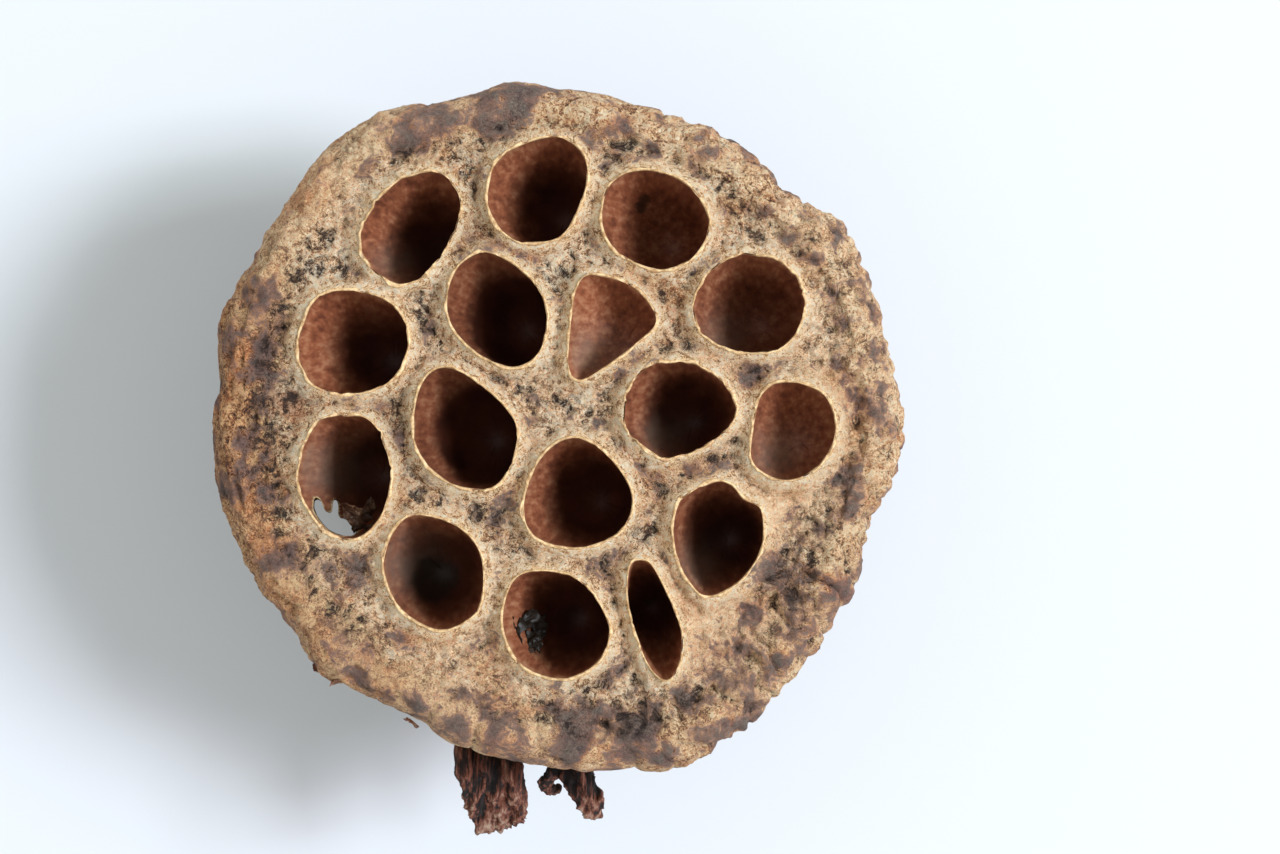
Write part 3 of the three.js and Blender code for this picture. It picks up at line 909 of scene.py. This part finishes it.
    def blank(self) -> bpy.types.Object:
        """Raises the plain head ring by ring from a circle, and remeshes it evenly."""
        deselect()
        foot = self.profile[-1]
        bpy.ops.mesh.primitive_circle_add(vertices=self.blank_sides, radius=foot[0],
                                          location=(0, 0, (self.face_height + foot[1]) * MM))
        thing = bpy.context.object
        bpy.ops.object.transform_apply()
        bpy.ops.object.mode_set(mode="EDIT")
        bpy.ops.mesh.select_all(action="SELECT")
        bpy.ops.mesh.edge_face_add()
        for below, row in zip(self.profile[::-1], self.profile[-2::-1]):
            rise = (row[1] - below[1]) * MM
            bpy.ops.mesh.extrude_region_move(TRANSFORM_OT_translate={"value": (0, 0, rise)})
            bpy.ops.transform.resize(value=(row[0] / below[0], row[0] / below[0], 1))
        bpy.ops.mesh.select_all(action="SELECT")
        bpy.ops.mesh.normals_make_consistent(inside=False)
        bpy.ops.object.mode_set(mode="OBJECT")
        points = corners_of(thing.data)
        share = np.hypot(points[:, 0], points[:, 1]) * MM
        angle = np.arctan2(points[:, 1], points[:, 0])
        height = points[:, 2]
        rows = np.array(self.profile)[::-1]
        pleat_share = np.interp(height, rows[:, 1] + self.face_height, rows[:, 2])
        pleats = sum(depth * np.cos(waves * angle + phase) for depth, waves, phase in self.pleat_waves)
        radius = self.radius(angle) * share + pleats * pleat_share * (share > 0.2)
        lean = self.neck_lean * np.clip(1 - height / self.neck_top, 0, 1) ** 2
        move_corners(thing.data, np.column_stack([
            radius * np.cos(angle), radius * np.sin(angle) - lean, height]))
        apply_modifier(thing, "REMESH", mode="VOXEL", voxel_size=self.voxel * MM)
        return thing

    def polar(self, points: np.ndarray) -> tuple[np.ndarray, np.ndarray]:
        """Returns each point's angle in degrees, and how far out it lies as a share of the rim radius."""
        angle = np.arctan2(points[:, 1], points[:, 0])
        return np.degrees(angle), np.hypot(points[:, 0], points[:, 1]) / self.radius(angle)

    def wrinkle(self, thing: bpy.types.Object) -> np.ndarray:
        """Moves the blank's skin out and in, as the tissue shrank when it dried.

        Args:
            thing: The evenly meshed blank.

        Returns:
            The moved points in mm, each with how bruised it is and how sunk it is, the share of painted
            shade in its creases.
        """
        points, normals = corners_of(thing.data), normals_of(thing.data)
        angle, share = self.polar(points)
        away = self.from_mouth(points)
        height = points[:, 2]
        top = self.above(9, 5, height)
        rim = smooth_step(0.8, 0.9, share) * (1 - top)
        rim += top * smooth_step(0.77, 0.87, share) * smooth_step(0.5, 2.4, away)
        rim *= self.above(30, 14, height)
        web = top * (1 - smooth_step(0.85, 0.94, share))
        under = (1 - self.above(18, 8, height)) * smooth_step(0.5, 5, height)
        rim_height, bruise, rim_sunk = self.rim_relief(points, angle, share)
        web_height, web_sunk = self.web_relief(points, away)
        around = raised(np.column_stack([np.radians(angle) * self.rim_arc / 6.0, height / 30]))
        ribs = creases(around + 0.12 * drift(points, 9.0, 2), 1.0, 5, 8.0)
        side = 0.3 * fractal(points, (1.6, 1.6, 5.0), 4) + self.flank_rib * (ribs - 0.45)
        side += 0.5 * fractal(points, 9.0, 2)
        edge = smooth_step(0.93, 0.99, share)
        calm = 1 - 0.45 * np.clip(self.tone(points), 0, 1)
        lift = web * web_height + rim * rim_height * (1 - 0.35 * edge) * calm + under * side
        for patch in BRUISES:
            if patch.lift:
                lift += patch.lift * patch.share(points) * (height > self.face_height - 20)
        moved = points + normals * lift[:, None]
        move_corners(thing.data, moved)
        sunk = np.maximum(web * web_sunk, rim * rim_sunk)
        # The valleys between the flank's ribs get painted shade too.
        sunk = np.maximum(sunk, 0.75 * under * smooth_step(0.55, 0.1, ribs))
        return np.column_stack([moved, bruise * rim, sunk])

    def tone(self, points: np.ndarray) -> np.ndarray:
        """Returns how bleached, or below 0 how browned, the tissue is at each point."""
        ragged = points + 1.7 * drift(points, 2.6, 4, (4.0, 8.0, 12.0))
        return sum(patch.lift * patch.share(ragged) for patch in TONES)

    def room_size(self, depth: np.ndarray) -> np.ndarray:
        """Returns a cell's size at each share of its depth, as a share of its mouth."""
        return np.maximum(1 - depth ** self.cell_fullness, 0) ** self.cell_roundness

    def cell_wall(self, cell: SeedCell, outline: np.ndarray, column: np.ndarray, depth: np.ndarray,
                  gap: float) -> np.ndarray:
        """Gives points on one cell's wall.

        Args:
            cell: The cell.
            outline: Its mouth in mm.
            column: Which point of the outline each point lies below.
            depth: How deep each point lies, as a share of the cell's depth.
            gap: How far outside the wall it lies, in mm.

        Returns:
            The points in mm.
        """
        centre = outline.mean(axis=0)
        arms = outline - centre
        length = np.linalg.norm(arms, axis=1)
        size = self.room_size(depth)
        reach = (length[column] * (1 - depth) + length.mean() * depth) * size + gap
        middle = centre * (1 - self.cell_gather * depth)[:, None] + np.array(cell.lean) * depth[:, None]
        height = self.face_height - depth * cell.depth - gap * (1 - size)
        return np.column_stack([middle + arms[column] / length[column][:, None] * reach[:, None], height])

    def cell_room(self, cell: SeedCell, outline: np.ndarray) -> bpy.types.Object:
        """Makes the solid that cuts one seed cell."""
        sides, rows = len(outline), 16

        def place(column: np.ndarray, row: np.ndarray) -> np.ndarray:
            row = row - 2
            depth = 1 - (1 - np.clip(row / rows, 0, 1)) ** 1.4
            points = self.cell_wall(cell, outline, column, depth, self.room_gap)
            middle = outline.mean(axis=0)
            points[row < 0, 2] = self.face_height + self.above_face
            points[row == -2, :2] = middle
            tip = row == rows
            points[tip, :2] = middle * (1 - self.cell_gather) + np.array(cell.lean)
            return points

        return wrapped_grid(f"room_{cell.name}", sides, rows + 2, place)

    def lining_cup(self, cell: SeedCell, outline: np.ndarray,
                   material: bpy.types.Material) -> bpy.types.Object:
        """Makes one cell's papery lining, whose upper edge stands proud as the thin lip.

        Args:
            cell: The cell.
            outline: Its mouth in mm.
            material: The lining's finish.

        Returns:
            A closed cup with the shares of stain, painted shade by depth, lip and painted sheen stored on
            it.
        """
        sides, rows, edge_rows = len(outline), self.cell_rows, len(LIP_SECTION)
        arms = outline - outline.mean(axis=0)
        out = arms / np.linalg.norm(arms, axis=1)[:, None]
        ground = raised(outline)
        base = self.profile_height(self.polar(ground)[1]) + self.web_relief(ground, np.zeros(sides))[0]
        nick = np.clip(fractal(ground, 2.6, 4, 31.0) + cell.raggedness - 0.35, 0, 1)
        rise = self.lip_rise * (1 + 1.1 * fractal(ground, 2.0, 4, 11.0)) - 1.7 * nick
        width = self.lip_width * (1 + 0.8 * fractal(ground, 2.0, 3, 41.0))
        section = np.array(LIP_SECTION)
        total = 2 * rows + edge_rows + 1

        def place(column: np.ndarray, row: np.ndarray) -> np.ndarray:
            inside = row <= rows
            level = 1 - np.minimum(row, total - row) / rows
            depth = self.lip_share + (1 - self.lip_share) * (1 - (1 - np.clip(level, 0, 1)) ** 1.4)
            spot = np.column_stack([ground[column, :2] / 1.4, depth * 2.4])
            crumple = 0.14 * fractal(spot, 1.0, 3, 4.0) * (1 - np.abs(2 * level - 1) ** 6)
            gap = np.where(inside, crumple - 0.1, self.buried)
            points = self.cell_wall(cell, outline, column, depth, gap)
            tip = (row == 0) | (row == total)
            points[tip, :2] = outline.mean(axis=0) * (1 - self.cell_gather) + np.array(cell.lean)
            lip = (row > rows) & (row < total - rows)
            step = row[lip] - rows - 1
            spread = section[step, 0] * width[column[lip]]
            lift = np.where(section[step, 1] > 0, section[step, 1] * rise[column[lip]], section[step, 1])
            points[lip, :2] = outline[column[lip]] + out[column[lip]] * spread[:, None]
            points[lip, 2] = base[column[lip]] + lift
            return points

        cup = wrapped_grid(f"lining_{cell.name}", sides, total, place, material)
        points = corners_of(cup.data)
        offset = points[:, :2] - outline.mean(axis=0)
        turn = np.arctan2(offset[:, 1], offset[:, 0])
        order = np.argsort(np.arctan2(arms[:, 1], arms[:, 0]))
        rim_turn = np.arctan2(arms[order, 1], arms[order, 0])
        below = np.interp(turn, rim_turn, base[order], period=TURN) - points[:, 2]
        uneven = fractal(points, (2.2, 2.2, 6.0), 3, 8.0)
        pale = 1 - smooth_step(0.0, 0.7, below + 0.3 * uneven)
        # Painted shade: the lining darkens with depth towards the cell's bottom; some cells are painted
        # paler as painted light, others darker as more painted shade.
        dark = smooth_step(self.shade_from, cell.depth * 0.95, below + 1.6 * uneven) * (1 - cell.painted_light)
        dark = np.clip(dark + max(-cell.painted_light, 0) * 0.5, 0, 1)
        stain = np.zeros(len(points))
        for patch in LINING_STAINS:
            stain = np.maximum(stain, smooth_step(0.35, 0.6, patch.share(points) + 0.15 * uneven))
        # Painted sheen: grey patches laid over the dark walls below the lip.
        painted_sheen = sum(patch.share(points) for patch in PAINTED_SHEENS) * smooth_step(0.8, 3, below)
        painted_sheen = np.clip(painted_sheen * (0.55 + 0.3 * uneven), 0, 0.5)
        store(cup.data, "marks", (0.8 * stain * smooth_step(3, 7, below), dark, pale, painted_sheen))
        return cup

    def tear_room(self) -> bpy.types.Object:
        """Makes the ragged leaning solid that tears the left cell open."""
        sides, rows = self.tear_grid
        outline = smooth_ring(self.tear, sides)[::-1]
        centre = np.array(self.tear_centre)

        def place(column: np.ndarray, row: np.ndarray) -> np.ndarray:
            level = np.clip((row - 1) / (rows - 2), 0, 1)
            height = self.tear_top + (self.tear_bottom - self.tear_top) * level
            below = self.face_height - height
            rough = 1 + self.tear_roughness * fractal(np.column_stack([outline[column], height]), 1.8, 3)
            size = np.where((row == 0) | (row == rows), 0.0, rough)
            flat = centre + (outline[column] - centre) * size[:, None]
            return np.column_stack([flat + below[:, None] * np.array(self.tear_lean), height])

        return wrapped_grid("room_tear", sides, rows, place)

    def mark(self, thing: bpy.types.Object, skin: np.ndarray) -> None:
        """Stores where the skin is rim, warm or flank, and where it is bruised, sunk into creases that get
        painted shade, or a lip.

        Args:
            thing: The finished head.
            skin: The wrinkled skin's points in mm, each with how bruised it is and how sunk it is, the share
                of painted shade.
        """
        points = corners_of(thing.data)
        tree = search_tree(skin[:, :3])
        found = skin[np.array([tree.find(spot)[1] for spot in points.tolist()])]
        angle, share = self.polar(points)
        away = self.from_mouth(points)
        soft = fractal(points, 6.0, 4, 2.0)
        high = self.above(14, 8, points[:, 2])
        rim = smooth_step(0.79, 0.88, share + 0.07 * soft) * smooth_step(0.2, 1.6, away + 0.5 * soft)
        warmth = sum(stretch.warmth * stretch.weight(angle) for stretch in RIM_STRETCHES)
        down = self.face_height - points[:, 2]
        rim = np.maximum(rim, smooth_step(4, 9, down))
        flank = smooth_step(7, 24, down + 3 * soft)
        ragged = points + 1.7 * drift(points, 2.6, 4, (4.0, 8.0, 12.0))
        lower = smooth_step(6, -26, points[:, 1] + 5 * soft)
        tone = self.tone(points)
        stained = (0.2 + 0.28 * lower - 0.35 * np.clip(tone, 0, 1)) * smooth_step(0.6, 2.2, away)
        fresh = 1 - 0.75 * np.clip(tone, 0, 1)
        bruise = (found[:, 3] * fresh + (1 - rim) * stained) * high
        for patch in BRUISES:
            bruise = np.maximum(bruise, self.bruise_strength * patch.share(ragged) * high)
        lip = np.exp(-(away / 1.25) ** 2) * (points[:, 2] > self.face_height - 4)
        tone = 0.58 + 0.5 * tone + 0.2 * soft
        store(thing.data, "zones", (rim, np.clip(warmth, 0, 1) * rim, flank, np.clip(tone, 0, 1)))
        # The second share of the marks is the painted shade in the creases, left off the lips.
        store(thing.data, "marks", (bruise, found[:, 4] * (1 - lip) * fresh, lip))

    def build(self, tissue: bpy.types.Material, lining: bpy.types.Material) -> tuple[bpy.types.Object, ...]:
        """Builds the whole head.

        Args:
            tissue: Finish of the skin.
            lining: Finish of the cells' linings.

        Returns:
            The head as one closed mesh, and the linings with their lips and torn scraps.
        """
        self.mouths = [cell.outline(self.cell_sides) for cell in CELLS]
        head = self.blank()
        skin = self.wrinkle(head)
        head.data.materials.clear()
        head.data.materials.append(tissue)
        pairs = list(zip(CELLS, self.mouths))
        rooms = joined([self.cell_room(cell, mouth[::2]) for cell, mouth in pairs], "rooms")
        combine(head, rooms, "DIFFERENCE")
        combine(head, self.tear_room(), "DIFFERENCE")
        triangles = sum(len(face.vertices) - 2 for face in head.data.polygons)
        apply_modifier(head, "DECIMATE", ratio=min(1.0, self.most_triangles / triangles))
        head.name = head.data.name = "lotus_seed_head"
        self.mark(head, skin)
        linings = joined([self.lining_cup(cell, mouth, lining) for cell, mouth in pairs], "linings")
        combine(linings, self.tear_room(), "DIFFERENCE")
        linings = joined([linings, *[scrap.build(lining) for scrap in SCRAPS]], "lotus_cell_linings")
        for thing, angle in ((head, 60), (linings, 40)):
            pick(thing)
            bpy.ops.object.shade_smooth_by_angle(angle=math.radians(angle))
        return head, linings


@dataclass
class TornStem:
    """The crushed stub beside the neck and the strips that its wall tore into."""

    stub: Strip = Strip(
        ((0.3, -5, 6.5), (0, -12, 6.3), (-0.8, -19, 6.6), (-1.6, -25, 10.2), (-2.6, -30, 15.5)),
        (11, 12.5, 13, 13, 12), (9.6, 9.8, 8.8, 7.6, 5.5), 0.0, 3)
    broad: Strip = Strip(
        ((-3.4, -26, 12.5), (-5.5, -31.5, 19), (-8.3, -38, 27.5), (-10.4, -44, 35.5),
         (-10.6, -48.5, 40.5), (-9.5, -53, 43.6), (-8.4, -57.2, 44.6)),
        (8, 8.6, 9.2, 9.8, 9.8, 9, 7.6), (4, 3.8, 3.4, 3.2, 3, 2.8, 1.6), 1.1, 3)
    narrow: Strip = Strip(
        ((-0.6, -26, 12.5), (0.4, -33, 20), (1, -40, 28.5), (1.3, -46, 36), (2.2, -50, 40),
         (3.7, -53, 42.4), (5.2, -55.4, 43.6)),
        (5.6, 5.4, 5.2, 5, 4.8, 4.4, 3.2), (3.2, 2.8, 2.6, 2.4, 2.2, 2, 1.2), 0.5, 2)
    curl: Strip = Strip(
        ((1.3, -46.5, 37), (-0.6, -49, 39.6), (-2.2, -50.6, 40.4), (-1.8, -52, 39.2), (-0.2, -52.2, 38.4)),
        (2.6, 2.6, 2.2, 1.8, 1.2), (1.4, 1.3, 1.2, 1.1, 0.9), 0.0, 1)
    voxel: float = 0.3
    ridge_x: float = -8.2

    def build(self, fibre: bpy.types.Material) -> bpy.types.Object:
        """Builds the stem as one fibrous mesh."""
        parts = [
            self.stub.skin("stub", 48, 60), self.broad.skin("broad", 48, 80),
            self.narrow.skin("narrow", 32, 70), self.curl.skin("curl", 20, 30),
        ]
        stem = joined(parts, "lotus_torn_stem")
        apply_modifier(stem, "REMESH", mode="VOXEL", voxel_size=self.voxel * MM)
        points, normals = corners_of(stem.data), normals_of(stem.data)
        turned = np.column_stack([points[:, 0], (points[:, 1] + points[:, 2]) / math.sqrt(2),
                                  (points[:, 2] - points[:, 1]) / math.sqrt(2)])
        strands = creases(turned, (2.0, 2.0, 15.0), 4)
        rough = fractal(turned, (0.8, 0.8, 3.0), 3)
        end = smooth_step(-51, -56, points[:, 1])
        height = 1.3 * (strands - 0.5) + 0.22 * rough + end * 0.7 * fractal(turned, (0.7, 0.7, 2.0), 2, 4.0)
        height *= smooth_step(0.3, 3, points[:, 2])
        move_corners(stem.data, points + normals * height[:, None])
        # Paler on the strand ridges and torn ends, and near black in the grooves between the strands as
        # painted shade.
        salmon = np.exp(-((points[:, 0] - self.ridge_x) / 1.0) ** 2) * smooth_step(-44, -49, points[:, 1])
        fray_and_groove_shade = np.maximum(np.clip(0.75 * strands + 0.25 * end, 0, 1), 0.62 * salmon)
        store(stem.data, "marks", (fray_and_groove_shade, fray_and_groove_shade, fray_and_groove_shade))
        stem.data.materials.clear()
        stem.data.materials.append(fibre)
        pick(stem)
        bpy.ops.object.shade_smooth()
        return stem


@dataclass
class Studio:
    """Pale floor, a broad light from the right and an overhead camera."""

    centre: tuple[float, float] = (11.34, 0.42)
    distance: float = 497.8
    face_height: float = 58.0
    light_distance: float = 3.0
    lens: float = 100.0
    sensor: float = 36.0
    floor_size: float = 6.0
    floor_colour: tuple[float, float, float, float] = (0.635, 0.651, 0.659, 1)
    floor_roughness: float = 0.9
    window: tuple[float, float] = (0.48, 1.0)
    window_energy: float = 48.0
    window_elevation: float = 49.0
    sky_colour: tuple[float, float, float, float] = (0.95, 0.99, 1.0, 1)
    sky_strength: float = 0.78

    def floor(self) -> None:
        """Lays the pale floor."""
        deselect()
        bpy.ops.mesh.primitive_plane_add(size=self.floor_size)
        floor = bpy.context.object
        floor.name = "studio_floor"
        paper = Shading("matt_paper", self.floor_roughness)
        paper.shader.inputs["Base Color"].default_value = self.floor_colour
        floor.data.materials.append(paper.material)

    def camera(self) -> None:
        """Hangs the camera over the pod, looking straight down."""
        data = bpy.data.cameras.new("overhead")
        data.lens = self.lens
        data.sensor_width = self.sensor
        camera = bpy.data.objects.new("overhead", data)
        camera.location = (self.centre[0] * MM, self.centre[1] * MM, (self.face_height + self.distance) * MM)
        bpy.context.scene.collection.objects.link(camera)
        bpy.context.scene.camera = camera

    def light(self, name: str, azimuth: float, colour: tuple[float, float, float]) -> None:
        """Adds half of the window, which faces the pod from this side."""
        data = bpy.data.lights.new(name, "AREA")
        data.shape = "RECTANGLE"
        data.size, data.size_y = self.window
        data.energy = self.window_energy
        data.color = colour
        lamp = bpy.data.objects.new(name, data)
        around, up = math.radians(azimuth), math.radians(self.window_elevation)
        towards = Vector((math.cos(around) * math.cos(up), math.sin(around) * math.cos(up), math.sin(up)))
        lamp.location = Vector((0, 0, 0.04)) + towards * self.light_distance
        lamp.rotation_euler = towards.to_track_quat("Z", "Y").to_euler()
        bpy.context.scene.collection.objects.link(lamp)

    def build(self) -> None:
        """Sets the floor, lights, sky and camera."""
        self.floor()
        self.camera()
        self.light("window_upper", 13, (0.84, 1.0, 1.06))
        self.light("window_lower", 3, (1.02, 0.99, 1.2))
        world = bpy.data.worlds.new("pale_room")
        world.use_nodes = True
        background = world.node_tree.nodes["Background"]
        background.inputs["Color"].default_value = self.sky_colour
        background.inputs["Strength"].default_value = self.sky_strength
        bpy.context.scene.world = world
        bpy.context.scene.view_settings.view_transform = "Standard"


def main() -> None:
    """Builds the pod in its studio and reports each piece."""
    low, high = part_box("seed_head")
    face_height = high[2] / MM - 0.9
    log.info("seed head from %.1f to %.1f mm", low[2] / MM, high[2] / MM)
    Studio(face_height=face_height).build()
    head, linings = SeedHead(face_height=face_height).build(SpongyTissue().build(), PaperyLining().build())
    for thing in (head, linings):
        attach(thing, "root")
        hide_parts("seed_head")
        log.info("%s: %d vertices", thing.name, len(thing.data.vertices))
    stem = TornStem().build(TornFibre().build())
    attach(stem, "root")
    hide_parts("torn_stem")
    log.info("%s: %d vertices", stem.name, len(stem.data.vertices))


if __name__ == "__main__":
    main()
